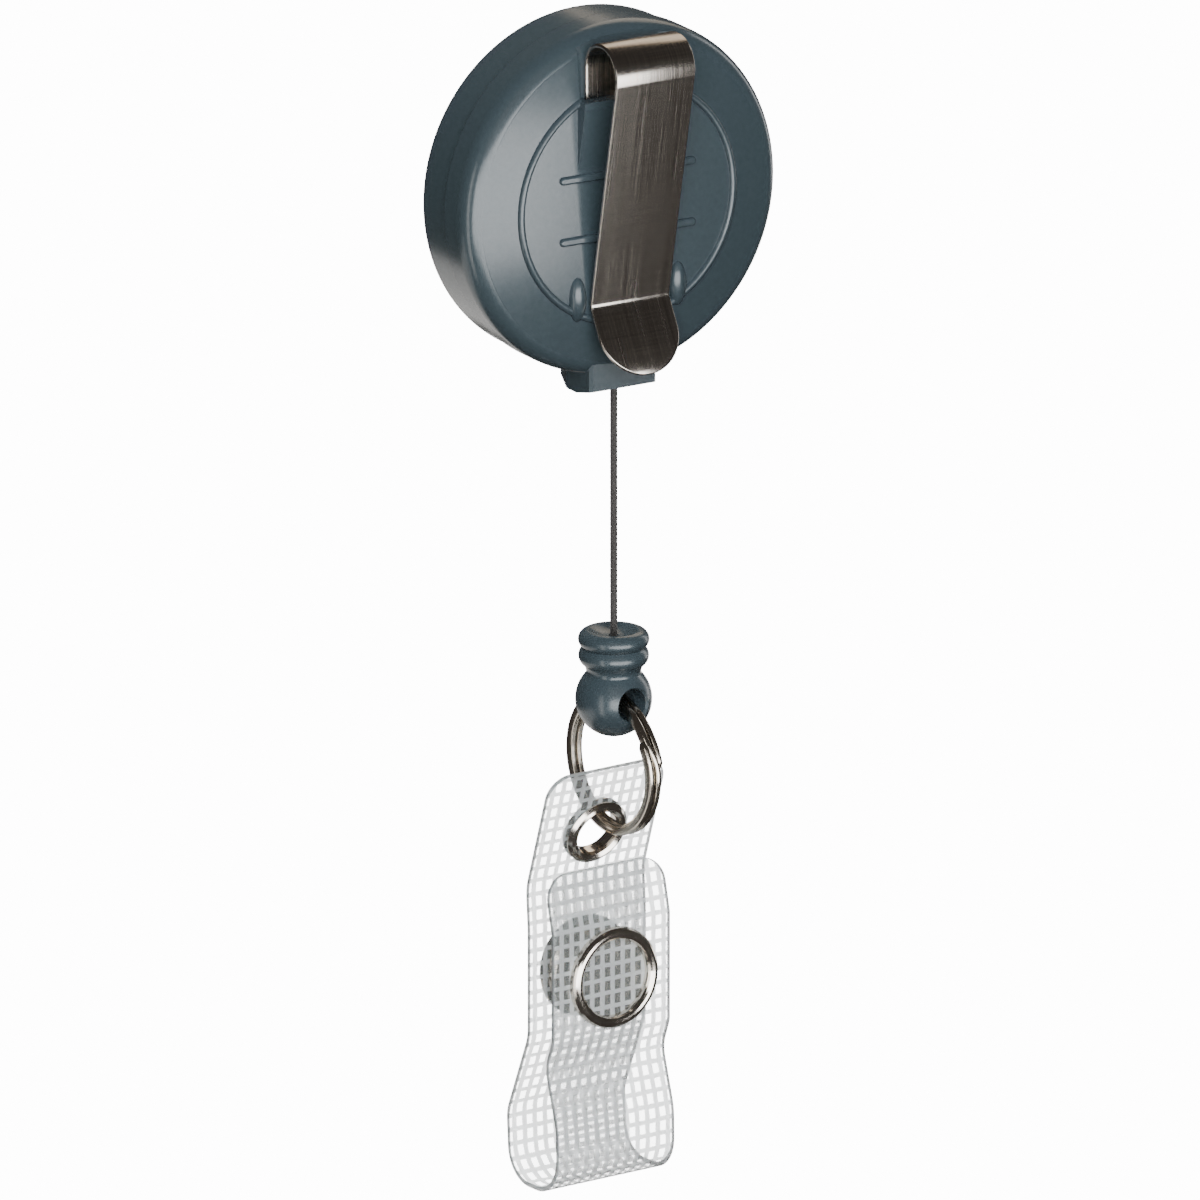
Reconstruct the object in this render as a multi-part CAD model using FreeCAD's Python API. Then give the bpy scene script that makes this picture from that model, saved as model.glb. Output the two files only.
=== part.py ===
# Retractable badge reel. Millimetres, +Z up, origin on the axle where it meets the case's back face.
# +Y runs through the case to its plain front face, and the belt clip is on the -Y side.
import FreeCAD, Part
import math
import os
from FreeCAD import Placement, Rotation, Vector

# case
case_r = 16.0
case_depth = 9.2
back_wall = 1.0
rim_wall = 1.2
parting_y = 4.5
back_edge_r = 1.8
front_edge_r = 1.2
front_r = 15.8
front_wall = 1.0
lip_height = 1.2
fit_gap = 0.05
ridge_r = 10.8
ridge_width = 0.66
ridge_height = 0.3
face_drop = 0.5
bar_half_length = 6.9
bar_width = 0.7
bar_height = 0.32
bar_z = 2.8

# clip and its pocket
strip_width = 8.0
strip_t = 0.4
leg_y = 0.55
leg_bottom_z = -1.2
bend_z = 12.4
bend_mid_y = -2.175
crease_y = -0.35
crease_z = -8.95
tail_length = 6.8
tail_angle = 30.3
pocket_half_width = 4.1
pocket_mouth_z = 9.8
recess_half_width = 4.8
cover_height = 0.95
cover_end_z = 3.6
cheek_x = 5.1
cheek_z = -8.2
cheek_half_width = 0.85
cheek_half_length = 2.0
cheek_height = 0.75
pad_back_y = 1.3

# nozzle and cord
nozzle_half_width = 3.4
nozzle_bottom_z = -17.7
nozzle_hole_r = 1.1
nozzle_hole_y = 3.0
cord_d = 0.65
cord_y = 2.3
cord_bottom_z = -43.3
feed_lip_r = 1.3

# reel
post_r = 2.2
post_end_y = 1.35
post_slot = 0.45
spool_y = 1.4
spool_web = 0.6
drum_r = 8.4
drum_wall = 1.0
drum_end_y = 7.0
groove_width = 3.2
flange_r = 13.4
winding_r = 10.9
cover_t = 0.6
running_gap = 0.05
spring_t = 0.12
spring_width = 4.4
spring_turns = 9
knot_x = 9.6
spool_knot_r = 0.75

# bead
bead_top_z = -39.7
ball_z = -46.0
ball_r = 3.4
cross_hole_r = 1.45
knot_r = 0.95
knot_z = -43.55

# split ring
ring_mean_r = 6.0
ring_radial = 1.0
coil_width = 0.6
coil_gap = 0.06
ring_z = -51.92
crossing_deg = 36.0
crossing_at_deg = 250.0

# strap, eyelet and snap
strap_width = 12.5
strap_t = 0.45
strap_x = -0.45
twist_deg = 4.5
eyelet_lean = 18.0
eyelet_drop = 1.1
eyelet_r = 2.1
eyelet_wall = 0.2
flange_outer_r = 3.1
snap_z = -71.5
snap_outer_r = 4.6
snap_inner_r = 3.5
stud_r = 1.75
prong_circle_r = 3.8
prong_r = 0.25
prong_fit = 0.05

axis_y = Vector(0, 1, 0)
axis_z = Vector(0, 0, 1)
origin = Vector(0, 0, 0)


def box(x0, x1, y0, y1, z0, z1):
    return Part.makeBox(x1 - x0, y1 - y0, z1 - z0, Vector(x0, y0, z0))


def tube_y(outer, inner, y0, y1, x=0.0, z=0.0):
    base = Vector(x, y0, z)
    body = Part.makeCylinder(outer, y1 - y0, base, axis_y)
    if inner:
        body = body.cut(Part.makeCylinder(inner, y1 - y0 + 2, base - axis_y, axis_y))
    return body


def turned_y(points):
    """A solid turned about the Y axis from (radius, y) points."""
    wire = Part.makePolygon([Vector(r, y, 0) for r, y in points + points[:1]])
    return Part.Face(wire).revolve(origin, axis_y, 360)


def turned_rounded(corners):
    """A solid turned about Y from (radius, y, corner radius) corners that start and end on the axis."""
    path = rounded_profile([(y, r, fillet) for r, y, fillet in corners])
    path.rotate(origin, axis_y, 90)
    ends = [path.OrderedVertexes[-1].Point, path.OrderedVertexes[0].Point]
    closed = Part.Wire(path.Edges + [Part.LineSegment(*ends).toShape()])
    return Part.Face(closed).revolve(origin, axis_y, 360)


def arc_points(centre, radius, start_deg, end_deg, steps=8):
    turns = [math.radians(start_deg + (end_deg - start_deg) * i / steps) for i in range(steps + 1)]
    return [(centre[0] + radius * math.cos(a), centre[1] + radius * math.sin(a)) for a in turns]


def rounded_profile(corners):
    """Edges through (a, b, radius) corners in the YZ plane. A radius of 0 leaves its corner sharp."""
    points = [Vector(0, a, b) for a, b, _ in corners]
    radii = [r for _, _, r in corners]
    edges = []
    last = points[0]
    for i in range(1, len(points) - 1):
        if not radii[i]:
            edges.append(Part.LineSegment(last, points[i]).toShape())
            last = points[i]
            continue
        before = (points[i - 1] - points[i]).normalize()
        after = (points[i + 1] - points[i]).normalize()
        half = before.getAngle(after) / 2
        reach = radii[i] / math.tan(half)
        start = points[i] + before * reach
        end = points[i] + after * reach
        middle = points[i] + (before + after).normalize() * (radii[i] / math.sin(half) - radii[i])
        edges.append(Part.LineSegment(last, start).toShape())
        edges.append(Part.Arc(start, middle, end).toShape())
        last = end
    edges.append(Part.LineSegment(last, points[-1]).toShape())
    return Part.Wire(edges)


def strip(corners, thickness, width, x=0.0):
    """A flat strip of even thickness that follows a rounded path in the YZ plane."""
    path = rounded_profile(corners)
    sides = [path.makeOffset2D(offset, 0, True, True) for offset in (thickness / 2, -thickness / 2)]
    solids = [face.extrude(Vector(width, 0, 0)) for face in sides]
    body = solids[0].fuse(solids[1]).removeSplitter()
    body.translate(Vector(x - width / 2, 0, 0))
    return body


def save(name, shape):
    solids = shape.removeSplitter().Solids
    if len(solids) != 1 or not solids[0].isValid():
        raise SystemExit(f"{name} has {len(solids)} solids, or isn't valid")
    solids[0].exportStep("parts/" + name + ".step")
    print(f"{name:18s} {solids[0].Volume:8.2f} mm3")


def back_shell():
    inside_r = case_r - rim_wall
    shell = turned_rounded([
        (0, 0, 0), (ridge_r, 0, 8), (case_r, face_drop + 0.2, back_edge_r), (case_r, parting_y, 0.12),
        (inside_r, parting_y, 0), (inside_r, back_wall + 0.2, 1.0), (ridge_r, back_wall, 8), (0, back_wall, 0),
    ])
    shell = shell.fuse(back_ridge())
    shell = shell.fuse(back_bars())
    shell = shell.fuse(pocket_cover())
    shell = shell.fuse(box(-5.4, 5.4, 0.6, pad_back_y, leg_bottom_z - 1.2, 13.8))
    shell = shell.fuse(nozzle_block().common(box(-5, 5, -2, parting_y, -30, 0)))
    shell = shell.cut(pocket_cut())
    shell = shell.fuse(clip_cheeks())
    return shell.cut(nozzle_hole())


def back_ridge():
    r0, r1 = ridge_r - ridge_width / 2, ridge_r + ridge_width / 2
    edge = ridge_width / 2 - 0.02
    return turned_rounded([(r0, 0.4, 0), (r0, -ridge_height, edge), (r1, -ridge_height, edge), (r1, 0.4, 0)])


def back_bars():
    bars = []
    for z in (-bar_z, bar_z):
        end = bar_half_length - bar_width / 2
        bar = box(-end, end, -bar_height, 0.3, z - bar_width / 2, z + bar_width / 2)
        for x in (-end, end):
            bar = bar.fuse(tube_y(bar_width / 2, 0, -bar_height, 0.3, x, z))
        top = [e for e in bar.removeSplitter().Edges if e.BoundBox.YMax < -bar_height / 2]
        bars.append(bar.removeSplitter().makeFillet(0.2, top))
    return bars[0].fuse(bars[1])


def pocket_cover():
    """The raised cover over the clip's pocket: proud at its mouth and sloping away down the back."""
    half = recess_half_width + 0.25
    side = Part.makePolygon([
        Vector(-half, 0.6, pocket_mouth_z), Vector(-half, -cover_height, pocket_mouth_z),
        Vector(-half, -cover_height, pocket_mouth_z - 0.6), Vector(-half, 0, cover_end_z),
        Vector(-half, 0.6, cover_end_z), Vector(-half, 0.6, pocket_mouth_z),
    ])
    block = Part.Face(side).extrude(Vector(2 * half, 0, 0))
    trim = []
    for sign in (-1, 1):
        flank = Part.makePolygon([
            Vector(sign * half, 0, 20), Vector(sign * (half - 0.55), -3, 20),
            Vector(sign * (half + 3), -3, 20), Vector(sign * (half + 3), 0, 20), Vector(sign * half, 0, 20),
        ])
        trim.append(Part.Face(flank).extrude(Vector(0, 0, -40)))
    return block.cut(trim[0]).cut(trim[1])


def clip_cheeks():
    """Two low domed cheeks that cradle the clip's lower crease."""
    cheeks = []
    for sign in (-1, 1):
        cheek = Part.makeSphere(1).transformGeometry(FreeCAD.Matrix(
            cheek_half_width, 0, 0, sign * cheek_x, 0, cheek_height, 0, 0.05,
            0, 0, cheek_half_length, cheek_z, 0, 0, 0, 1))
        cheeks.append(cheek.common(box(-8, 8, -2, back_wall - 0.2, -14, 0)))
    return cheeks[0].fuse(cheeks[1])


def pocket_cut():
    """The open recess under the clip's bend, and the slot that takes its leg."""
    slot_front = leg_y - strip_t / 2 - 0.06
    slot_back = leg_y + strip_t / 2 + 0.06
    slot = box(-pocket_half_width, pocket_half_width, slot_front, slot_back,
               leg_bottom_z - 0.3, pocket_mouth_z + 1)
    recess = box(-recess_half_width, recess_half_width, -4, slot_back, pocket_mouth_z, case_r + 1)
    window = box(-1.2, 1.2, slot_back - 0.1, pad_back_y + 1, leg_bottom_z + 0.4, leg_bottom_z + 2.7)
    return slot.fuse(recess).fuse(window)


def nozzle_block():
    """Faceted block under the case that guides the cord out."""
    half, back_half, front_half = nozzle_half_width, nozzle_half_width - 0.3, nozzle_half_width - 0.6
    outline = [(-back_half, 0.55), (back_half, 0.55), (half, 0.85), (half, 4.8), (front_half, 6.7),
               (-front_half, 6.7), (-half, 4.8), (-half, 0.85), (-back_half, 0.55)]
    block = Part.Face(Part.makePolygon([Vector(x, y, -14.6) for x, y in outline]))
    block = block.extrude(Vector(0, 0, nozzle_bottom_z + 14.6))
    side = [(-1, -13), (-1, -16.7), (0.55, -17.1), (3.0, nozzle_bottom_z), (parting_y, nozzle_bottom_z),
            (6.7, -17.0), (8, -16.4), (8, -13), (-1, -13)]
    keep = Part.Face(Part.makePolygon([Vector(-5, y, z) for y, z in side])).extrude(Vector(10, 0, 0))
    core = tube_y(case_r - rim_wall, 0, -1, 10)
    return block.common(keep).cut(core)


def nozzle_hole():
    hole = Part.makeCylinder(nozzle_hole_r, 6, Vector(0, nozzle_hole_y, -19), axis_z)
    lip = Vector(0, nozzle_hole_y, nozzle_bottom_z)
    mouth = Part.makeCone(nozzle_hole_r + 0.35, nozzle_hole_r, 0.35, lip, axis_z)
    inlet = Part.makeCone(nozzle_hole_r, nozzle_hole_r + 0.5, 1.4, Vector(0, nozzle_hole_y, -15.2), axis_z)
    return hole.fuse(mouth).fuse(inlet)


def front_shell():
    inside_r = front_r - 1.2
    lip_r = case_r - rim_wall - fit_gap
    lip_inside = inside_r - 0.4
    seam_y = parting_y + 0.02
    inner_face_y = case_depth - front_wall
    shell = turned_rounded([
        (0, case_depth, 0), (front_r, case_depth, front_edge_r), (front_r, seam_y, 0.12), (lip_r, seam_y, 0),
        (lip_r, parting_y - lip_height, 0), (lip_inside, parting_y - lip_height, 0),
        (lip_inside, inner_face_y, 0.5), (0, inner_face_y, 0),
    ])
    nose = nozzle_block().common(box(-5, 5, parting_y + 0.02, 9, -30, 0))
    shell = shell.fuse(nose.cut(tube_y(front_r - 0.6, 0, -1, 10)))
    shell = shell.cut(nozzle_hole())
    post = tube_y(post_r, 0, post_end_y, case_depth - front_wall + 0.2)
    post = post.cut(box(-post_slot / 2, post_slot / 2, post_end_y - 1, drum_end_y - 0.3, -4, 4))
    return shell.fuse(post)


def spool():
    web_front = spool_y + spool_web
    groove_end = web_front + groove_width
    drum_inner = drum_r - drum_wall
    body = tube_y(flange_r, 0, spool_y, web_front)
    body = body.fuse(tube_y(drum_r, drum_inner, spool_y, drum_end_y))
    body = body.fuse(tube_y(flange_r, drum_inner, groove_end, groove_end + spool_web))
    body = body.cut(tube_y(post_r + running_gap, 0, 0, 9))
    cord_hole = tube_y(cord_d / 2 + 0.1, 0, groove_end - 0.1, groove_end + 1, knot_x)
    return body.cut(cord_hole).cut(spring_hook_slot())


def spring_hook_slot():
    """Notch in the drum's inner wall that holds the spring's outer end."""
    inner = drum_r - drum_wall
    return box(-0.35, 0.35, spool_y + spool_web, drum_end_y + 1, inner - 0.2, inner + 0.4)


def spring_cover():
    cap = tube_y(drum_r, post_r + 0.6, drum_end_y, drum_end_y + cover_t)
    rim = tube_y(drum_r - drum_wall - fit_gap, drum_r - drum_wall - 0.7, drum_end_y - 0.4, drum_end_y)
    return cap.fuse(rim)


def mainspring():
    """Flat spiral of spring steel between the slotted post and the drum wall, with both ends hooked."""
    r_in = post_r + 0.35
    r_out = drum_r - drum_wall - 0.35
    y0 = spool_y + spool_web + 0.05
    outer, inner = [], []
    steps = spring_turns * 16
    for i in range(steps + 1):
        a = math.pi / 2 + 2 * math.pi * spring_turns * i / steps
        r = r_in + (r_out - r_in) * (i / steps) ** 1.15
        outer.append(Vector((r + spring_t / 2) * math.cos(a), y0, (r + spring_t / 2) * math.sin(a)))
        inner.append(Vector((r - spring_t / 2) * math.cos(a), y0, (r - spring_t / 2) * math.sin(a)))
    loop = outer + inner[::-1]
    coil = Part.Face(Part.makePolygon(loop + loop[:1])).extrude(Vector(0, spring_width, 0))
    tab = box(-spring_t / 2, spring_t / 2, y0, y0 + spring_width, -post_r + 0.4, r_in + 0.02)
    hook = box(-spring_t, spring_t, y0, y0 + spring_width, r_out - 0.02, drum_r - drum_wall + 0.3)
    return coil.fuse(tab).fuse(hook)


def cord_winding():
    y0 = spool_y + spool_web + 0.04
    y1 = y0 + groove_width - 0.08
    r0 = drum_r + 0.02
    return turned_y([(r0, y0), (winding_r - 0.4, y0), (winding_r, y0 + 0.4), (winding_r, y1 - 0.4),
                     (winding_r - 0.4, y1), (r0, y1)])


def spool_knot():
    """Knot that stops the cord's end in front of the front flange."""
    flange_face = spool_y + 2 * spool_web + groove_width
    return Part.makeSphere(spool_knot_r, Vector(knot_x, flange_face + spool_knot_r + running_gap, 0))


def cord():
    """The free cord: from the winding, over the nozzle's inner lip, straight down into the bead."""
    reach = winding_r + cord_d / 2
    lip_z = -14.4
    off = math.acos(reach / -lip_z)
    leave = Vector(reach * math.sin(off), 3.2, -reach * math.cos(off))
    lip = Vector(0, cord_y, lip_z)
    end = Vector(0, cord_y, cord_bottom_z)
    before = (leave - lip).normalize()
    after = (end - lip).normalize()
    half = before.getAngle(after) / 2
    arc_start = lip + before * (feed_lip_r / math.tan(half))
    arc_end = lip + after * (feed_lip_r / math.tan(half))
    middle = lip + (before + after).normalize() * (feed_lip_r / math.sin(half) - feed_lip_r)
    path = Part.Wire([
        Part.LineSegment(leave, arc_start).toShape(),
        Part.Arc(arc_start, middle, arc_end).toShape(),
        Part.LineSegment(arc_end, end).toShape(),
    ])
    section = Part.Wire(Part.makeCircle(cord_d / 2, leave, lip - leave))
    tube = path.makePipeShell([section], True, False)
    share = tube.Volume / (math.pi * cord_d ** 2 / 4 * path.Length)
    print(f"cord {path.Length:.1f} mm, bend radius {feed_lip_r} mm, volume share {share:.3f}")
    return tube


def cord_end_knot():
    ball = Part.makeSphere(knot_r, Vector(0, cord_y, knot_z))
    return ball.cut(Part.makeCylinder(cord_d / 2, knot_r + 2, Vector(0, cord_y, cord_bottom_z), axis_z))


def bead():
    """One moulding turned about the cord: two ribs over a ball, with a cross hole for the ring."""
    def at(r, z):
        return Vector(r, 0, z)
    waist_z = ball_z + math.sqrt(ball_r ** 2 - 2.45 ** 2)
    edges = [
        Part.LineSegment(at(0, bead_top_z - 0.55), at(0.9, bead_top_z - 0.5)),
        Part.Arc(at(0.9, bead_top_z - 0.5), at(1.6, bead_top_z - 0.3), at(2.2, bead_top_z)),
        Part.Arc(at(2.2, bead_top_z), at(3.15, bead_top_z - 0.8), at(2.75, bead_top_z - 1.55)),
        Part.Arc(at(2.75, bead_top_z - 1.55), at(3.12, bead_top_z - 2.35), at(2.75, bead_top_z - 3.1)),
        Part.Arc(at(2.75, bead_top_z - 3.1), at(2.5, bead_top_z - 3.45), at(2.45, waist_z)),
        Part.Arc(at(2.45, waist_z), at(ball_r, ball_z), at(0, ball_z - ball_r)),
        Part.LineSegment(at(0, ball_z - ball_r), at(0, bead_top_z - 0.55)),
    ]
    body = Part.Face(Part.Wire([e.toShape() for e in edges])).revolve(origin, axis_z, 360)
    body.translate(Vector(0, cord_y, 0))
    body = body.cut(tube_y(cross_hole_r, 0, cord_y - 5, cord_y + 5, 0, ball_z))
    mouth_y = math.sqrt(ball_r ** 2 - cross_hole_r ** 2)
    for side in (-1, 1):
        foot = Vector(0, cord_y + side * (mouth_y - 0.3), ball_z)
        body = body.cut(Part.makeCone(cross_hole_r, cross_hole_r + 0.4, 0.4, foot, Vector(0, side, 0)))
    body = body.cut(Part.makeCylinder(cord_d / 2 + 0.12, 6, Vector(0, cord_y, ball_z), axis_z))
    knot_room = Part.makeCylinder(knot_r + 0.15, knot_z + knot_r + 0.1 - ball_z, Vector(0, cord_y, ball_z), axis_z)
    body = body.cut(knot_room)
    return twisted(body)


def split_ring():
    """Two flat coils side by side, joined by one crossing strand."""
    b = 0.12
    r0, r1 = ring_mean_r - ring_radial / 2, ring_mean_r + ring_radial / 2
    turn = 360 - crossing_deg

    def section(x_mid, deg):
        a = math.radians(deg)
        out = Vector(0, math.sin(a), -math.cos(a))
        x0, x1 = x_mid - coil_width / 2, x_mid + coil_width / 2
        pts = [(x0 + b, r0), (x1 - b, r0), (x1, r0 + b), (x1, r1 - b),
               (x1 - b, r1), (x0 + b, r1), (x0, r1 - b), (x0, r0 + b)]
        corners = [ring_centre + out * r + Vector(x, 0, 0) for x, r in pts]
        return Part.makePolygon(corners + corners[:1])

    shift = (coil_width + coil_gap) / 2
    start = crossing_at_deg + crossing_deg / 2
    pieces = []
    for x_mid in (-shift, shift):
        face = Part.Face(section(x_mid, start))
        pieces.append(face.revolve(ring_centre, Vector(1, 0, 0), turn))
    spans = 6
    sections = []
    for i in range(spans + 1):
        s = i / spans
        eased = s * s * (3 - 2 * s)
        sections.append(section(-shift + 2 * shift * eased, start + turn + crossing_deg * s))
    pieces.append(Part.makeLoft(sections, True, False))
    ring = pieces[0].fuse(pieces[2]).fuse(pieces[1])
    return twisted(ring)


def twisted(shape):
    """Turns a hanging piece about the cord to the way it hangs."""
    shape = shape.copy()
    shape.rotate(Vector(0, cord_y, 0), axis_z, twist_deg)
    return shape


# The strap hangs from the ring at an angle off its lowest point, and its two runs meet at the loop's foot.
eyelet_lean_rad = math.radians(eyelet_lean)
down_strap = Vector(0, math.sin(eyelet_lean_rad), -math.cos(eyelet_lean_rad))
ring_centre = Vector(0, cord_y, ring_z)
eyelet_centre = ring_centre + down_strap * (ring_mean_r + eyelet_drop)
eyelet_axis = Vector(0, -math.cos(eyelet_lean_rad), -math.sin(eyelet_lean_rad))
strap_top = eyelet_centre - down_strap * 6.6
snap_front_y = 2.1
snap_rear_y = 5.75
loop_foot_y = 5.1
loop_foot_z = -90.6

back_route = [
    (strap_top.y, strap_top.z, 0), (strap_top.y + 10.9 * math.tan(eyelet_lean_rad), strap_top.z - 10.9, 5),
    (snap_rear_y, -67.0, 4), (snap_rear_y, -77.0, 4), (8.95, -84.6, 3.2),
    (8.6, loop_foot_z, 3.0), (loop_foot_y, loop_foot_z, 0),
]
front_route = [
    (loop_foot_y, loop_foot_z, 0), (1.35, loop_foot_z, 3.2), (1.45, -84.6, 6), (3.1, -79.2, 3),
    (snap_front_y, -76.6, 1.5), (snap_front_y, -66.6, 1.5), (3.3, -61.6, 0),
]


def strap_frame(shape):
    """Moves a piece built about X = 0 to where the strap hangs."""
    shape = shape.copy()
    shape.translate(Vector(strap_x, 0, 0))
    return twisted(shape)


def rounded_end(z_end, radius):
    """A block with two rounded top corners, which rounds the end of a strip."""
    half = strap_width / 2
    block = box(-half, half, -10, 20, z_end - 60, z_end - radius)
    block = block.fuse(box(radius - half, half - radius, -10, 20, z_end - radius - 1, z_end))
    for x in (radius - half, half - radius):
        block = block.fuse(tube_y(radius, 0, -10, 20, x, z_end - radius))
    return block


def strap_back_run():
    run = strip(back_route, strap_t, strap_width)
    run = run.common(rounded_end(run.BoundBox.ZMax, 2.2))
    hole = Part.makeCylinder(eyelet_r + eyelet_wall + 0.02, 8, eyelet_centre - eyelet_axis * 4, eyelet_axis)
    return strap_frame(run.cut(hole).cut(prong_pockets(snap_rear_y - 1, snap_rear_y + 1)))


def strap_front_run():
    run = strip(front_route, strap_t, strap_width)
    run = run.common(rounded_end(run.BoundBox.ZMax, 2.4))
    return strap_frame(run.cut(prong_pockets(snap_front_y - 1, snap_front_y + 1)))


def prong_places():
    turns = [math.radians(90 + 72 * i) for i in range(5)]
    return [(prong_circle_r * math.cos(a), snap_z + prong_circle_r * math.sin(a)) for a in turns]


def turned_on(points, centre, axis):
    """A solid turned about an axis, from (radius, distance along the axis) points."""
    wire = Part.makePolygon([Vector(r, 0, h) for r, h in points + points[:1]])
    body = Part.Face(wire).revolve(origin, axis_z, 360)
    body.Placement = Placement(centre, Rotation(axis_z, axis))
    return body


def eyelet():
    """Flanged barrel whose far end is rolled over the washer."""
    half = strap_t / 2
    r, w = eyelet_r, eyelet_wall
    flange = [(r + 0.05, -half - 0.62), (r, -half - 0.3), (r, half), (r + 0.12, half + 0.32), (r + 0.45, half + 0.5),
              (flange_outer_r - 0.3, half + 0.4), (flange_outer_r, half + 0.14), (flange_outer_r, half + 0.01),
              (r + w, half + 0.01), (r + w, -half - 0.24), (r + 0.5, -half - 0.38), (r + 0.45, -half - 0.6)]
    return strap_frame(turned_on(flange, eyelet_centre, eyelet_axis))


def eyelet_washer():
    half = strap_t / 2
    r = eyelet_r + eyelet_wall + 0.03
    ring = [(r, -half - 0.01), (r, -half - 0.2), (flange_outer_r - 0.2, -half - 0.3),
            (flange_outer_r + 0.05, -half - 0.2), (flange_outer_r + 0.05, -half - 0.01)]
    return strap_frame(turned_on(ring, eyelet_centre, eyelet_axis))


def prong_ring(face_y, direction):
    """Open ring with five prongs that go through the vinyl. direction is +1 or -1 along Y, away from it."""
    centre = Vector(0, face_y, snap_z)
    mid = (snap_outer_r + snap_inner_r) / 2
    profile = [(snap_inner_r, 0.02), (snap_inner_r, 0.3)]
    profile += arc_points((mid, 0.3), (snap_outer_r - snap_inner_r) / 2, 180, 0, 8)[1:-1]
    profile += [(snap_outer_r, 0.3), (snap_outer_r, 0.02)]
    ring = turned_on(profile, centre, Vector(0, direction, 0))
    y0, y1 = sorted((face_y + direction * 0.1, face_y - direction * (strap_t + 0.3)))
    for x, z in prong_places():
        ring = ring.fuse(tube_y(prong_r, 0, y0, y1, x, z))
    return strap_frame(ring)


def prong_pockets(y0, y1):
    pockets = [tube_y(prong_r + prong_fit, 0, y0, y1, x, z) for x, z in prong_places()]
    return pockets[0].multiFuse(pockets[1:])


def snap_front_ring():
    return prong_ring(snap_front_y - strap_t / 2, -1)


def snap_rear_ring():
    return prong_ring(snap_rear_y + strap_t / 2, 1)


def snap_socket():
    """Cap with a round recess that grips the stud."""
    y0 = snap_front_y + strap_t / 2 + 0.01
    points = [(0, 0), (4.3, 0), (4.3, 0.55), (3.9, 0.75), (2.75, 0.85), (2.75, 1.55), (2.55, 1.7),
              (stud_r + 0.12, 1.7), (stud_r + 0.02, 1.5), (stud_r + 0.3, 1.2), (stud_r + 0.3, 0.35), (0, 0.35)]
    body = turned_on(points, Vector(0, y0, snap_z), axis_y)
    return strap_frame(body.cut(prong_pockets(y0 - 0.5, y0 + 0.45)))


def snap_stud():
    y0 = snap_rear_y - strap_t / 2 - 0.01
    points = [(0, 0), (4.3, 0), (4.3, 0.4), (3.9, 0.62), (2.3, 0.7), (1.6, 0.85), (1.5, 1.35), (stud_r - 0.03, 1.75),
              (stud_r - 0.03, 2.0), (1.35, 2.35), (0, 2.45)]
    body = turned_on(points, Vector(0, y0, snap_z), Vector(0, -1, 0))
    return strap_frame(body.cut(prong_pockets(y0 - 0.45, y0 + 0.5)))


# The clip is one strip, held here as its anchored leg and its springing arm, which meet on top of the bend.
def clip_route_arm():
    tail = math.radians(tail_angle)
    tip = (crease_y - tail_length * math.sin(tail), crease_z - tail_length * math.cos(tail))
    return [(bend_mid_y, bend_z + 2.725, 0), (-4.9, bend_z + 2.725, 2.5), (-4.72, bend_z - 0.3, 1.2),
            (crease_y, crease_z, 0.9), (tip[0], tip[1], 0)]


def clip_anchor_leg():
    route = [(bend_mid_y, bend_z + 2.725, 0), (leg_y, bend_z + 2.725, 2.5), (leg_y, leg_bottom_z, 0)]
    leg = strip(route, strip_t, strip_width)
    tab_side = [(leg_y, leg_bottom_z + 2.4), (leg_y + 0.65, leg_bottom_z + 0.75),
                (leg_y + 0.4, leg_bottom_z + 0.65), (leg_y - 0.15, leg_bottom_z + 2.1)]
    tab_path = Part.makePolygon([Vector(-0.9, y, z) for y, z in tab_side + tab_side[:1]])
    tab = Part.Face(tab_path).extrude(Vector(1.8, 0, 0))
    hole = box(-1.0, 1.0, 0, 2, leg_bottom_z + 0.6, leg_bottom_z + 2.1)
    return leg.cut(hole).fuse(tab)


def clip_arm():
    arm = strip(clip_route_arm(), strip_t, strip_width)
    half = strip_width / 2
    tail = math.radians(tail_angle)
    s = tail_length - half
    centre = Vector(0, crease_y - s * math.sin(tail), crease_z - s * math.cos(tail))
    end = box(-6, 6, -4, 4, -12, 0).cut(tube_y(half, 0, -5, 5))
    end.Placement = Placement(centre, Rotation(Vector(1, 0, 0), -tail_angle))
    return arm.cut(end)


def main():
    os.makedirs("parts", exist_ok=True)
    builders = (
        back_shell, front_shell, spool, spring_cover, mainspring, cord_winding, spool_knot, cord, cord_end_knot,
        bead, split_ring, strap_back_run, strap_front_run, eyelet, eyelet_washer, snap_front_ring, snap_socket,
        snap_stud, snap_rear_ring, clip_anchor_leg, clip_arm,
    )
    for build in builders:
        save(build.__name__, build())


main()
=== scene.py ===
# Looks for a retractable badge reel. Metres, +Z up, origin on the axle at the case's flat back.
import math
import bmesh
import bpy
from mathutils import Matrix, Vector


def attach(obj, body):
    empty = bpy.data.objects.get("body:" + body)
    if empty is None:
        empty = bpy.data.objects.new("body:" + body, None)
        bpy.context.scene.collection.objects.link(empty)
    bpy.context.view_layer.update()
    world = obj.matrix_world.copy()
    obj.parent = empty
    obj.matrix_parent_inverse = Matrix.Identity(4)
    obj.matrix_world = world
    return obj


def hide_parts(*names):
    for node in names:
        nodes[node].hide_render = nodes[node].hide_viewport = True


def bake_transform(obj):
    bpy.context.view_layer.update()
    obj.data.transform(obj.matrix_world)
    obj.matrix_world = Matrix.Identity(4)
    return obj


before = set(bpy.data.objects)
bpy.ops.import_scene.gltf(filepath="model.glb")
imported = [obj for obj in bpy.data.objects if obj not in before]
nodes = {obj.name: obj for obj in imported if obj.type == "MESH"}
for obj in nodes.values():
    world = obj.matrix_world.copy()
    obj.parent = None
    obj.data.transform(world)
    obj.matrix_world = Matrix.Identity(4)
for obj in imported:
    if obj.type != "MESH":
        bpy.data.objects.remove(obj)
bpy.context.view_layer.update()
mm = 0.001
uvPerMm = 0.01


def say(stage):
    print("stage:", stage)


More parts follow.
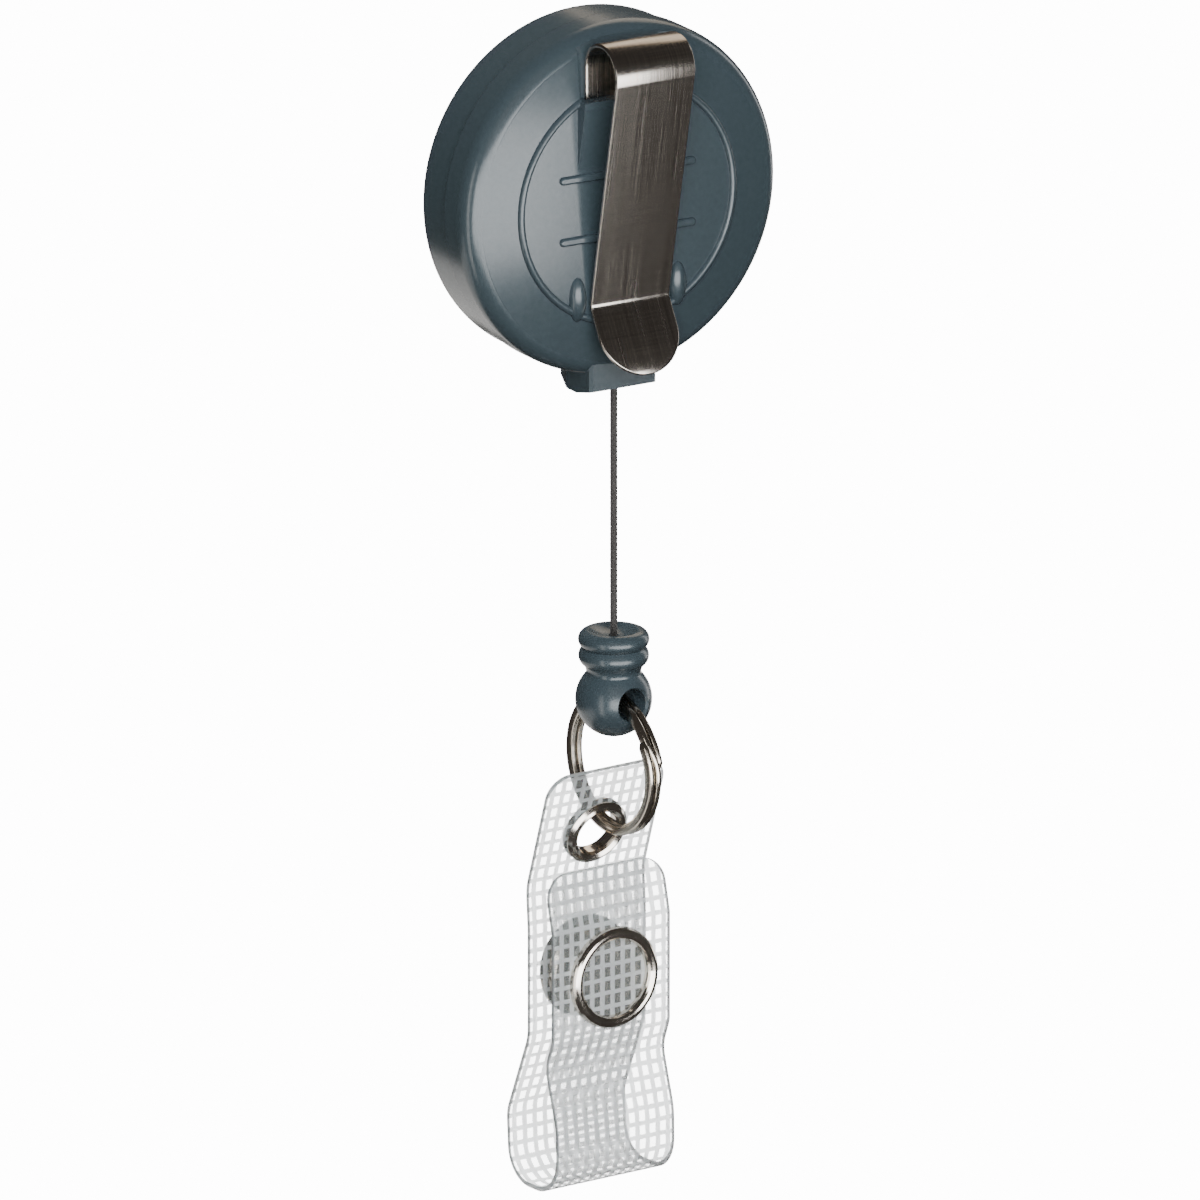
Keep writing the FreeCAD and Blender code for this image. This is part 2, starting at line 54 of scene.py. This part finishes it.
# camera
shot = {
    "azimuth": -31.0, "elevation": 17.0, "target": (-0.00144, 0.00224, -0.03678), "distance": 3.0,
    "lens": 1026.0, "clipStart": 0.01, "clipEnd": 200.0,
}


# unit vector that leaves the object; azimuth 0 is the clip's side
def outward(azimuth, elevation):
    a, e = math.radians(azimuth), math.radians(elevation)
    return Vector((math.sin(a) * math.cos(e), -math.cos(a) * math.cos(e), math.sin(e)))


def placeCamera(s):
    data = bpy.data.cameras.new("camera")
    data.lens = s["lens"]
    data.clip_start = s["clipStart"]
    data.clip_end = s["clipEnd"]
    camera = bpy.data.objects.new("camera", data)
    bpy.context.scene.collection.objects.link(camera)
    back = outward(s["azimuth"], s["elevation"])
    camera.location = Vector(s["target"]) + back * s["distance"]
    camera.rotation_euler = back.to_track_quat("Z", "Y").to_euler()
    bpy.context.scene.camera = camera


placeCamera(shot)
say("camera")


# helpers for meshes; shapes are worked out in millimetres
def addMesh(name, bm):
    bmesh.ops.recalc_face_normals(bm, faces=bm.faces)
    mesh = bpy.data.meshes.new(name)
    bm.to_mesh(mesh)
    bm.free()
    mesh.shade_smooth()
    obj = bpy.data.objects.new(name, mesh)
    bpy.context.scene.collection.objects.link(obj)
    return obj


# closed skin with flat ends over rings that have the same count of points
def loft(name, rings, uvs=None):
    bm = bmesh.new()
    layer = bm.loops.layers.uv.new("UVMap") if uvs else None
    rows = [[bm.verts.new(p) for p in ring] for ring in rings]
    count = len(rings[0])
    for i in range(len(rows) - 1):
        for j in range(count):
            k = (j + 1) % count
            face = bm.faces.new((rows[i][j], rows[i][k], rows[i + 1][k], rows[i + 1][j]))
            if layer:
                corners = ((i, j), (i, j + 1), (i + 1, j + 1), (i + 1, j))
                for loop, (r, q) in zip(face.loops, corners):
                    loop[layer].uv = uvs(r, q)
    bm.faces.new(rows[0][::-1])
    bm.faces.new(rows[-1])
    return addMesh(name, bm)


# points and tangents along straight runs in the YZ plane; each corner is (y, z, radius)
def roundedLine(corners, step, fewest=6):
    spots = [Vector((0, y, z)) for y, z, _ in corners]
    out = []
    last = spots[0]

    def run(a, b):
        n = max(1, round((b - a).length / step))
        out.extend((a.lerp(b, i / n), (b - a).normalized()) for i in range(n))

    for i in range(1, len(spots) - 1):
        before = (spots[i - 1] - spots[i]).normalized()
        after = (spots[i + 1] - spots[i]).normalized()
        half = before.angle(after) / 2
        radius = corners[i][2]
        start, end = (spots[i] + side * (radius / math.tan(half)) for side in (before, after))
        centre = spots[i] + (before + after).normalized() * (radius / math.sin(half))
        run(last, start)
        arc = math.pi - 2 * half
        turn = 1 if (-before).cross(after).x > 0 else -1
        n = max(fewest, round(arc * radius / step))
        for k in range(n):
            spin = Matrix.Rotation(turn * arc * k / n, 3, "X")
            out.append((centre + spin @ (start - centre), spin @ -before))
        last = end
    run(last, spots[-1])
    out.append((spots[-1], (spots[-1] - last).normalized()))
    return out


def lengthsAlong(line):
    total = [0.0]
    for (a, _), (b, _) in zip(line, line[1:]):
        total.append(total[-1] + (b - a).length)
    return total


# lays a strip out straight by distance along it, bakes its transform, then puts its shape back
def blendAlong(obj, runs):
    shape = [v.co.copy() for v in obj.data.vertices]
    for v, run in zip(obj.data.vertices, runs):
        v.co = (0, 0, run * mm)
    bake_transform(obj)
    for v, co in zip(obj.data.vertices, shape):
        v.co = co


# the ring and the strap hang turned a little about the cord
hanging = {"pivot": (0, 2.3, 0), "twist": 4.5}


def hang(point):
    pivot = Vector(hanging["pivot"])
    return pivot + Matrix.Rotation(math.radians(hanging["twist"]), 3, "Z") @ (point - pivot)


# cord: a round braid, two sets of strands that cross over each other
strapFittings = ["eyelet", "eyelet_washer", "snap_front_ring", "snap_socket", "snap_stud", "snap_rear_ring"]
cordLook = {
    "route": [(7.033, 3.2, -8.748), (0, 2.3, -14.4), (0, 2.3, -18.3), (0, 2.3, -43.3)],
    "order": 3, "resolution": 24, "pitch": 0.00006, "around": 24,
    "radius": 0.00029, "strands": 4, "lay": 0.0019, "relief": 0.000045,
    "nozzle": (0, 0.0023, -0.0177), "beadEnd": (0, 0.0023, -0.0433), "length": 0.0374, "diameter": 0.00065,
    "carries": ["cord_end_knot", "bead"] + strapFittings,
}


def cordCentreline(c):
    curve = bpy.data.curves.new("cordRoute", "CURVE")
    curve.dimensions = "3D"
    curve.resolution_u = c["resolution"]
    spline = curve.splines.new("NURBS")
    spline.points.add(len(c["route"]) - 1)
    for point, spot in zip(spline.points, c["route"]):
        point.co = (*(Vector(spot) * mm), 1)
    spline.order_u = c["order"]
    spline.use_endpoint_u = True
    holder = bpy.data.objects.new("cordRoute", curve)
    bpy.context.scene.collection.objects.link(holder)
    bpy.context.view_layer.update()
    mesh = bpy.data.meshes.new_from_object(holder)
    points = [v.co.copy() for v in mesh.vertices]
    bpy.data.objects.remove(holder)
    return points


def makeCord(c):
    path = cordCentreline(c)
    points = [path[0]]
    for a, b in zip(path, path[1:]):
        n = max(1, round((b - a).length / c["pitch"]))
        points.extend(a.lerp(b, (i + 1) / n) for i in range(n))
    rings, run = [], 0.0
    side = Vector((0, 1, 0))
    for i, p in enumerate(points):
        if i:
            run += (p - points[i - 1]).length
        ahead = (points[min(i + 1, len(points) - 1)] - points[max(i - 1, 0)]).normalized()
        side = (side - ahead * side.dot(ahead)).normalized()
        other = ahead.cross(side)
        twist = 2 * math.pi * run / c["lay"]
        ring = []
        for j in range(c["around"]):
            a = 2 * math.pi * j / c["around"]
            left = abs(math.sin(c["strands"] / 2 * (a + twist)))
            right = abs(math.sin(c["strands"] / 2 * (a - twist)))
            r = c["radius"] + c["relief"] * (max(left, right) * 2 - 1)
            ring.append(p + side * (r * math.cos(a)) + other * (r * math.sin(a)))
        rings.append(ring)
    return loft("cordBraid", rings), path


cord, cordPath = makeCord(cordLook)
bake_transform(cord)
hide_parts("cord")
tuple(cordPath[0])
[tuple(p) for p in cordPath]
say("cord")


# belt clip: one strip from the pocket, round the bend and down to the turned-out, rounded tail
clipLook = {
    "line": [(0.55, -1.2, 0), (0.55, 15.125, 2.5), (-4.9, 15.125, 2.5), (-4.72, 12.1, 1.2),
             (-0.35, -8.95, 0.9), (-3.781, -14.821, 0)],
    "width": 8.0, "thickness": 0.4, "edge": 0.18, "edgeSteps": 4, "step": 0.35,
    "tailRows": [3.95, 3.8, 3.6, 3.3, 3.0, 2.6, 2.2, 1.8, 1.4, 1.0, 0.7, 0.45, 0.25, 0.1, 0.03],
    "tailInset": 0.9, "bendTop": (0, -2.175, 15.125), "flex": 2.6,
}


def makeClip(c):
    half, depth, edge, steps = c["width"] / 2, c["thickness"] / 2, c["edge"], c["edgeSteps"]
    line = roundedLine(c["line"], c["step"])
    tip, tipWay = line[-1]
    total = lengthsAlong(line)[-1]
    line = [spot for spot, run in zip(line, lengthsAlong(line)) if total - run > half]
    line += [(tip - tipWay * left, tipWay) for left in c["tailRows"]]
    runs = lengthsAlong(line)
    section = []
    for cx, cy, start in ((1, 1, 0), (-1, 1, 90), (-1, -1, 180), (1, -1, 270)):
        section += [(cx, cy, math.radians(start + 90 / (steps - 1) * k)) for k in range(steps)]
    rings = []
    for (p, way), run in zip(line, runs):
        up = Vector((0, -way.z, way.y))
        left = total - run
        wide = math.sqrt(max(0, half ** 2 - (half - left) ** 2)) if left < half else half
        inset = min(edge, wide * c["tailInset"])
        ring = []
        for cx, cy, a in section:
            x = cx * (wide - inset) + inset * math.cos(a)
            y = cy * (depth - edge) + edge * math.sin(a)
            ring.append((p + Vector((x, 0, 0)) + up * y) * mm)
        rings.append(ring)

    def uvs(r, q):
        return rings[r][q % len(section)].x / mm * uvPerMm + 0.5, runs[r] * uvPerMm

    clip = loft("clipStrip", rings, uvs)
    vertexRuns = [run for run in runs for _ in section]
    blendAlong(clip, vertexRuns)
    return clip


clip = makeClip(clipLook)
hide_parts("clip_anchor_leg", "clip_arm")
say("clip")


# split ring: two coils of flat-sided wire whose ends spring apart a little at the crossing; angles in degrees
ringLook = {
    "centre": (0, 2.3, -51.92), "radius": 6.0, "radial": 0.5, "axial": 0.3, "squareness": 0.65,
    "offset": 0.33, "crossingAt": 250.0, "crossing": 36.0, "overlap": 30.0, "spread": 0.3, "spreadOver": 60.0,
    "tipSize": 0.45, "taperOver": 8.0, "around": 20, "steps": 360,
}


def squared(value, power):
    return math.copysign(abs(value) ** power, value)


def makeRing(c):
    firstTip = c["crossingAt"] + c["crossing"] / 2 - c["overlap"]
    crossStart = c["crossingAt"] - c["crossing"] / 2 + 360
    lastTip = c["crossingAt"] - c["crossing"] / 2 + 720 + c["overlap"]
    centre = Vector(c["centre"])
    rings = []
    for i in range(c["steps"] + 1):
        deg = firstTip + (lastTip - firstTip) * i / c["steps"]
        toTip = min(deg - firstTip, lastTip - deg)
        ease = min(1, max(0, (deg - crossStart) / c["crossing"]))
        ease = ease * ease * (3 - 2 * ease)
        x = c["offset"] * (2 * ease - 1)
        x += math.copysign(c["spread"] * max(0, 1 - toTip / c["spreadOver"]) ** 2, x)
        taper = min(1, c["tipSize"] + toTip / c["taperOver"])
        a = math.radians(deg)
        out = Vector((0, math.sin(a), -math.cos(a)))
        ring = []
        for j in range(c["around"]):
            b = 2 * math.pi * j / c["around"]
            px = squared(math.cos(b), c["squareness"]) * c["axial"] * taper
            pr = squared(math.sin(b), c["squareness"]) * c["radial"] * taper
            ring.append(hang(centre + Vector((x + px, 0, 0)) + out * (c["radius"] + pr)) * mm)
        rings.append(ring)
    return loft("splitRing", rings)


ring = makeRing(ringLook)
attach(ring, "ring")
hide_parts("split_ring")
say("split ring")


# strap: one strip of clear vinyl with a woven scrim, from the eyelet down, round the foot and up to the snap
strapLook = {
    "line": [(2.4545, -52.395, 0), (5.996, -63.295, 5), (5.75, -67.0, 4), (5.75, -77.0, 4),
             (8.95, -84.6, 3.2), (8.6, -90.6, 3.0), (1.35, -90.6, 3.2), (1.45, -84.6, 6),
             (3.1, -79.2, 3), (2.1, -76.6, 1.5), (2.1, -66.6, 1.5), (3.3, -61.6, 0)],
    "width": 12.5, "thickness": 0.44, "shift": -0.45, "cornerTop": 2.2, "cornerEnd": 2.4,
    "step": 0.3, "columns": 48, "endRun": 2.45,
    "endRows": [0.02, 0.08, 0.2, 0.35, 0.55, 0.8, 1.1, 1.4, 1.7, 2.0, 2.3],
    "eyeletRun": 6.6, "holeRadius": 2.62, "foot": (0, 5.1, -90.6), "fold": 4.5,
}


def makeStrap(c):
    line = roundedLine(c["line"], c["step"])
    runs = lengthsAlong(line)
    total = runs[-1]
    top, topWay = line[0]
    low, lowWay = line[-1]
    rows = [(top + topWay * e, e) for e in c["endRows"]]
    rows += [(p, run) for (p, _), run in zip(line, runs) if c["endRun"] < run < total - c["endRun"]]
    rows += [(low - lowWay * e, total - e) for e in c["endRows"][::-1]]
    bm = bmesh.new()
    layer = bm.loops.layers.uv.new("UVMap")
    runLayer = bm.verts.layers.float.new("run")
    grid, flat = [], []
    for p, run in rows:
        half = c["width"] / 2
        for left, corner in ((run, c["cornerTop"]), (total - run, c["cornerEnd"])):
            if left < corner:
                half += math.sqrt(corner ** 2 - (corner - left) ** 2) - corner
        row, places = [], []
        for j in range(c["columns"] + 1):
            x = half * (2 * j / c["columns"] - 1)
            row.append(bm.verts.new(hang(p + Vector((x + c["shift"], 0, 0))) * mm))
            row[-1][runLayer] = run
            places.append((x, run))
        grid.append(row)
        flat.append(places)
    for i in range(len(grid) - 1):
        for j in range(c["columns"]):
            x = (flat[i][j][0] + flat[i][j + 1][0]) / 2
            run = (flat[i][j][1] + flat[i + 1][j][1]) / 2
            if math.hypot(x, run - c["eyeletRun"]) < c["holeRadius"]:
                continue
            face = bm.faces.new((grid[i][j], grid[i][j + 1], grid[i + 1][j + 1], grid[i + 1][j]))
            for loop, (r, q) in zip(face.loops, ((i, j), (i, j + 1), (i + 1, j + 1), (i + 1, j))):
                loop[layer].uv = (flat[r][q][0] * uvPerMm + 0.5, flat[r][q][1] * uvPerMm)
    bmesh.ops.delete(bm, geom=[v for v in bm.verts if not v.link_faces], context="VERTS")
    strap = addMesh("strapVinyl", bm)
    vertexRuns = [value.value for value in strap.data.attributes["run"].data]
    strap.data.attributes.remove(strap.data.attributes["run"])
    blendAlong(strap, vertexRuns)
    solid = strap.modifiers.new("thickness", "SOLIDIFY")
    solid.thickness = c["thickness"] * mm
    solid.offset = 0
    solid.material_offset = 1
    solid.material_offset_rim = 2
    return strap, total


strap, strapLength = makeStrap(strapLook)
print("strap length", round(strapLength, 2))
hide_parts("strap_back_run", "strap_front_run")
say("strap")


# helpers for materials
def newMaterial(name):
    material = bpy.data.materials.new(name)
    material.use_nodes = True
    tree = material.node_tree
    return material, tree, tree.nodes["Principled BSDF"]


def place(tree, output="Object", scale=(1, 1, 1)):
    coords = tree.nodes.new("ShaderNodeTexCoord")
    mapping = tree.nodes.new("ShaderNodeMapping")
    mapping.inputs["Scale"].default_value = scale
    tree.links.new(coords.outputs[output], mapping.inputs["Vector"])
    return mapping.outputs[0]


def noise(tree, source, scale, detail):
    node = tree.nodes.new("ShaderNodeTexNoise")
    node.inputs["Scale"].default_value = scale
    node.inputs["Detail"].default_value = detail
    node.inputs["Roughness"].default_value = 0.5
    tree.links.new(source, node.inputs["Vector"])
    return node.outputs[0]


def maths(tree, operation, a, b=None, c=None, clamp=False):
    node = tree.nodes.new("ShaderNodeMath")
    node.operation = operation
    node.use_clamp = clamp
    for i, value in enumerate((a, b, c)):
        if value is None:
            continue
        if isinstance(value, (int, float)):
            node.inputs[i].default_value = value
        else:
            tree.links.new(value, node.inputs[i])
    return node.outputs[0]


def mapRange(tree, value, fromMin, fromMax, toMin, toMax, smooth=False):
    node = tree.nodes.new("ShaderNodeMapRange")
    if smooth:
        node.interpolation_type = "SMOOTHSTEP"
    node.inputs["From Min"].default_value = fromMin
    node.inputs["From Max"].default_value = fromMax
    node.inputs["To Min"].default_value = toMin
    node.inputs["To Max"].default_value = toMax
    tree.links.new(value, node.inputs["Value"])
    return node.outputs[0]


# spreads a noise, whose values lie mostly between a quarter and three quarters, over a pair of values
def spread(tree, value, pair):
    return mapRange(tree, value, 0.25, 0.75, *pair)


def mixColour(tree, factor, a, b):
    node = tree.nodes.new("ShaderNodeMix")
    node.data_type = "RGBA"
    tree.links.new(factor, node.inputs[0])
    node.inputs[6].default_value = (*a, 1)
    node.inputs[7].default_value = (*b, 1)
    return node.outputs[2]


def bump(tree, shader, height, distance):
    node = tree.nodes.new("ShaderNodeBump")
    node.inputs["Strength"].default_value = 1.0
    node.inputs["Distance"].default_value = distance
    tree.links.new(height, node.inputs["Height"])
    tree.links.new(node.outputs[0], shader.inputs["Normal"])


# height of a very shallow dome about the axle, so that flat mouldings reflect as real ones do
def domeHeight(tree, radius, edge):
    split = tree.nodes.new("ShaderNodeSeparateXYZ")
    tree.links.new(place(tree), split.inputs[0])
    x2 = maths(tree, "MULTIPLY", split.outputs[0], split.outputs[0])
    both = maths(tree, "MULTIPLY_ADD", split.outputs[2], split.outputs[2], x2)
    return maths(tree, "MULTIPLY", maths(tree, "MINIMUM", both, edge ** 2), -0.5 / radius)


# materials
def mouldedPlastic(name, c):
    material, tree, shader = newMaterial(name)
    where = place(tree)
    shader.inputs["IOR"].default_value = c["ior"]
    shader.inputs["Alpha"].default_value = c["alpha"]
    mottle = noise(tree, where, c["mottleScale"], 4)
    tree.links.new(mixColour(tree, mottle, c["dark"], c["light"]), shader.inputs["Base Color"])
    polish = noise(tree, where, c["polishScale"], 3)
    tree.links.new(spread(tree, polish, c["rough"]), shader.inputs["Roughness"])
    grain = noise(tree, where, c["grainScale"], 2)
    if "dome" in c:
        dome = domeHeight(tree, c["dome"], c["domeEdge"])
        bump(tree, shader, maths(tree, "MULTIPLY_ADD", grain, c["grainHeight"], dome), 1.0)
    else:
        bump(tree, shader, grain, c["grainHeight"])
    return material


def platedMetal(name, c):
    material, tree, shader = newMaterial(name)
    where = place(tree)
    shader.inputs["Metallic"].default_value = 1.0
    tint = noise(tree, where, c["tintScale"], 2)
    tree.links.new(mixColour(tree, tint, c["dark"], c["light"]), shader.inputs["Base Color"])
    polish = noise(tree, where, c["polishScale"], 3)
    tree.links.new(spread(tree, polish, c["rough"]), shader.inputs["Roughness"])
    bump(tree, shader, noise(tree, where, c["grainScale"], 2), c["grainHeight"])
    return material


# brushed along the strip, with fainter marks across it
def brushedClip(name, c):
    material, tree, shader = newMaterial(name)
    shader.inputs["Metallic"].default_value = 1.0
    shader.inputs["Anisotropic"].default_value = c["anisotropy"]
    long = noise(tree, place(tree, "UV", (1, c["longStretch"], 1)), c["grainScale"], 2)
    cross = noise(tree, place(tree, "UV", (c["crossStretch"], 1, 1)), c["crossScale"], 2)
    both = maths(tree, "ADD", long, maths(tree, "MULTIPLY", cross, c["crossGrain"]))
    tint = spread(tree, maths(tree, "MULTIPLY", both, 1 / (1 + c["crossGrain"])), (0, 1))
    tree.links.new(mixColour(tree, tint, c["dark"], c["light"]), shader.inputs["Base Color"])
    tree.links.new(spread(tree, long, c["rough"]), shader.inputs["Roughness"])
    tangent = tree.nodes.new("ShaderNodeTangent")
    tangent.direction_type = "UV_MAP"
    tangent.uv_map = "UVMap"
    tree.links.new(tangent.outputs[0], shader.inputs["Tangent"])
    bump(tree, shader, both, c["grainHeight"])
    return material


# clear sheet with two sets of threads, whose pitches and widths are in millimetres
def scrimVinyl(name, c):
    material, tree, shader = newMaterial(name)
    where = place(tree, "UV", (1 / uvPerMm, 1 / uvPerMm, 1 / uvPerMm))
    wobble = noise(tree, where, c["wobbleScale"], 2)
    split = tree.nodes.new("ShaderNodeSeparateXYZ")
    tree.links.new(where, split.inputs[0])
    drift = maths(tree, "MULTIPLY", maths(tree, "SUBTRACT", wobble, 0.5), c["wobble"])
    masks = []
    for axis, pitch, width in ((0, c["pitchAcross"], c["warp"]), (1, c["pitchAlong"], c["weft"])):
        along = maths(tree, "DIVIDE", maths(tree, "ADD", split.outputs[axis], drift), pitch)
        offset = maths(tree, "ABSOLUTE", maths(tree, "SUBTRACT", maths(tree, "FRACT", along), 0.5))
        edge = width / pitch / 2
        outer, inner = edge * (1 + c["blur"]), edge * (1 - c["blur"])
        masks.append(mapRange(tree, offset, outer, inner, 0, 1, smooth=True))
    thread = maths(tree, "MAXIMUM", masks[0], masks[1])
    extra = maths(tree, "MULTIPLY", thread, c["threadAlpha"] - c["clearAlpha"])
    fibre = spread(tree, noise(tree, where, c["fibreScale"], 3), c["fibreAlpha"])
    alpha = maths(tree, "MULTIPLY", maths(tree, "ADD", c["clearAlpha"], extra), fibre, clamp=True)
    tree.links.new(mixColour(tree, thread, c["clear"], c["thread"]), shader.inputs["Base Color"])
    tree.links.new(alpha, shader.inputs["Alpha"])
    shader.inputs["Roughness"].default_value = c["rough"]
    shader.inputs["IOR"].default_value = c["ior"]
    bump(tree, shader, thread, c["relief"])
    return material


def wovenCord(name, c):
    material, tree, shader = newMaterial(name)
    where = place(tree)
    tint = noise(tree, where, c["tintScale"], 3)
    tree.links.new(mixColour(tree, tint, c["dark"], c["light"]), shader.inputs["Base Color"])
    shader.inputs["Roughness"].default_value = c["rough"]
    shader.inputs["Sheen Weight"].default_value = c["sheen"]
    bump(tree, shader, noise(tree, where, c["grainScale"], 2), c["grainHeight"])
    return material


slate = {
    "dark": (0.058, 0.083, 0.098), "light": (0.072, 0.1, 0.116), "rough": (0.2, 0.27), "ior": 1.53,
    "alpha": 1.0, "mottleScale": 2600, "polishScale": 1900, "grainScale": 3400, "grainHeight": 0.0000022,
}
slateShell = mouldedPlastic("slateShell", dict(slate, dome=0.1, domeEdge=0.0145))
slateBead = mouldedPlastic("slateBead", dict(slate, rough=(0.23, 0.3)))
reelWhite = mouldedPlastic("reelWhite", dict(
    slate, dark=(0.62, 0.6, 0.55), light=(0.72, 0.7, 0.66), rough=(0.4, 0.5)))
vinylSkin = mouldedPlastic("vinylSkin", dict(
    slate, dark=(0.6, 0.63, 0.62), light=(0.66, 0.69, 0.68), rough=(0.12, 0.2), alpha=0.06))
vinylEdge = mouldedPlastic("vinylEdge", dict(
    slate, dark=(0.42, 0.45, 0.46), light=(0.5, 0.53, 0.54), rough=(0.2, 0.3), alpha=0.96))
nickel = {
    "dark": (0.62, 0.58, 0.52), "light": (0.72, 0.68, 0.62), "rough": (0.1, 0.2),
    "tintScale": 900, "polishScale": 700, "grainScale": 2500, "grainHeight": 0.000002,
}
snapNickel = platedMetal("snapNickel", nickel)
ringNickel = platedMetal("ringNickel", dict(
    nickel, dark=(0.5, 0.46, 0.4), light=(0.62, 0.57, 0.5), rough=(0.14, 0.26)))
blueSteel = platedMetal("springSteel", dict(nickel, dark=(0.2, 0.22, 0.26), light=(0.3, 0.32, 0.36)))
clipNickel = brushedClip("clipNickel", {
    "dark": (0.3, 0.275, 0.25), "light": (0.58, 0.54, 0.49), "rough": (0.21, 0.28), "anisotropy": 0.4,
    "grainScale": 700, "longStretch": 0.008, "crossScale": 560, "crossStretch": 0.02, "crossGrain": 0.7,
    "grainHeight": 0.0000008,
})
vinyl = scrimVinyl("scrimVinyl", {
    "pitchAcross": 1.1, "pitchAlong": 1.28, "warp": 0.5, "weft": 0.42, "blur": 0.25,
    "wobble": 0.16, "wobbleScale": 0.7, "fibreScale": 9, "fibreAlpha": (0.85, 1.1),
    "clear": (0.38, 0.41, 0.4), "thread": (0.92, 0.95, 0.955), "clearAlpha": 0.47, "threadAlpha": 0.91,
    "rough": 0.22, "ior": 1.5, "relief": 0.00006,
})
braid = wovenCord("braid", {
    "dark": (0.016, 0.014, 0.013), "light": (0.06, 0.054, 0.05), "rough": 0.75, "sheen": 0.3,
    "tintScale": 3500, "grainScale": 9000, "grainHeight": 0.00002,
})

# the strap's slots: threads on one side, a clear skin on the other, and the cut edge
drawn = ((cord, [braid]), (clip, [clipNickel]), (ring, [ringNickel]), (strap, [vinyl, vinylSkin, vinylEdge]))
for obj, looks in drawn:
    obj.data.materials.clear()
    for material in looks:
        obj.data.materials.append(material)
finishes = {
    "back_shell": slateShell, "front_shell": slateShell, "bead": slateBead, "spool": reelWhite,
    "spring_cover": reelWhite, "mainspring": blueSteel, "cord_winding": braid, "spool_knot": braid,
    "cord_end_knot": braid, "eyelet": snapNickel, "eyelet_washer": snapNickel, "snap_front_ring": snapNickel,
    "snap_socket": snapNickel, "snap_stud": snapNickel, "snap_rear_ring": snapNickel,
}
for name, material in finishes.items():
    for slot in nodes[name].material_slots:
        slot.material = material
say("materials")


# studio: a white floor and world that only the camera sees, and panels aimed at the object
studio = {
    "floorZ": -1.2, "radius": 3.0, "segments": 96, "white": 0.9, "glow": 14.0, "ambient": (0.055, 0.05, 0.046),
}
panels = [
    {"name": "leftPanel", "azimuth": -8.5, "elevation": -7, "distance": 0.55, "size": (0.74, 0.32),
     "watts": 6.5, "gloss": True, "diffuse": False, "colour": (1, 1, 1)},
    {"name": "edgeStrip", "azimuth": -68, "elevation": -12, "distance": 0.6, "size": (0.1, 0.6), "watts": 0.9,
     "gloss": True, "diffuse": False, "colour": (1, 0.97, 0.93)},
    {"name": "warmTop", "azimuth": 135, "elevation": 38, "distance": 0.6, "size": (0.35, 0.3), "watts": 0.6,
     "gloss": True, "diffuse": True, "colour": (1, 0.84, 0.66)},
    {"name": "rightPanel", "azimuth": 100, "elevation": 8, "distance": 0.6, "size": (0.12, 0.5), "watts": 0.6,
     "gloss": True, "diffuse": True, "colour": (1, 1, 1)},
    {"name": "backCard", "azimuth": 215, "elevation": -40, "distance": 0.7, "size": (1.3, 0.3), "watts": 1.7,
     "gloss": True, "diffuse": True, "colour": (1, 0.98, 0.95)},
    {"name": "frontFill", "azimuth": 172, "elevation": 25, "distance": 0.9, "size": (0.8, 0.8), "watts": 8.0,
     "gloss": False, "diffuse": True, "colour": (0.95, 0.98, 1)},
    {"name": "frontPanel", "azimuth": 138, "elevation": -16, "distance": 0.7, "size": (0.4, 0.2),
     "watts": 0.7, "gloss": True, "diffuse": False, "colour": (1, 1, 1)},
    {"name": "fill", "azimuth": -22, "elevation": 24, "distance": 0.9, "size": (0.8, 0.8), "watts": 10.0,
     "gloss": False, "diffuse": True, "colour": (0.95, 0.98, 1)},
]


def makeStudio(s):
    bm = bmesh.new()
    bmesh.ops.create_circle(bm, cap_ends=True, segments=s["segments"], radius=s["radius"],
                            matrix=Matrix.Translation((0, 0, s["floorZ"])))
    floor = addMesh("studioFloor", bm)
    material, _, shader = newMaterial("studioWhite")
    shader.inputs["Base Color"].default_value = (s["white"], s["white"], s["white"], 1)
    shader.inputs["Emission Color"].default_value = (1, 1, 1, 1)
    shader.inputs["Emission Strength"].default_value = s["glow"]
    floor.data.materials.append(material)
    floor.visible_glossy = False
    floor.visible_diffuse = False
    world = bpy.data.worlds.new("studio")
    world.use_nodes = True
    tree = world.node_tree
    seen = tree.nodes.new("ShaderNodeLightPath")
    tint = tree.nodes.new("ShaderNodeMix")
    tint.data_type = "RGBA"
    tint.inputs[6].default_value = (*s["ambient"], 1)
    tint.inputs[7].default_value = (s["glow"], s["glow"], s["glow"], 1)
    tree.links.new(seen.outputs["Is Camera Ray"], tint.inputs[0])
    tree.links.new(tint.outputs[2], tree.nodes["Background"].inputs["Color"])
    bpy.context.scene.world = world


def addPanel(p):
    light = bpy.data.lights.new(p["name"], "AREA")
    light.shape = "RECTANGLE"
    light.size, light.size_y = p["size"]
    light.energy = p["watts"]
    light.color = p["colour"]
    lamp = bpy.data.objects.new(p["name"], light)
    way = outward(p["azimuth"], p["elevation"])
    lamp.location = Vector(shot["target"]) + way * p["distance"]
    lamp.rotation_euler = way.to_track_quat("Z", "Y").to_euler()
    lamp.visible_camera = False
    lamp.visible_glossy = p["gloss"]
    lamp.visible_diffuse = p["diffuse"]
    bpy.context.scene.collection.objects.link(lamp)


makeStudio(studio)
for panel in panels:
    addPanel(panel)
say("studio")
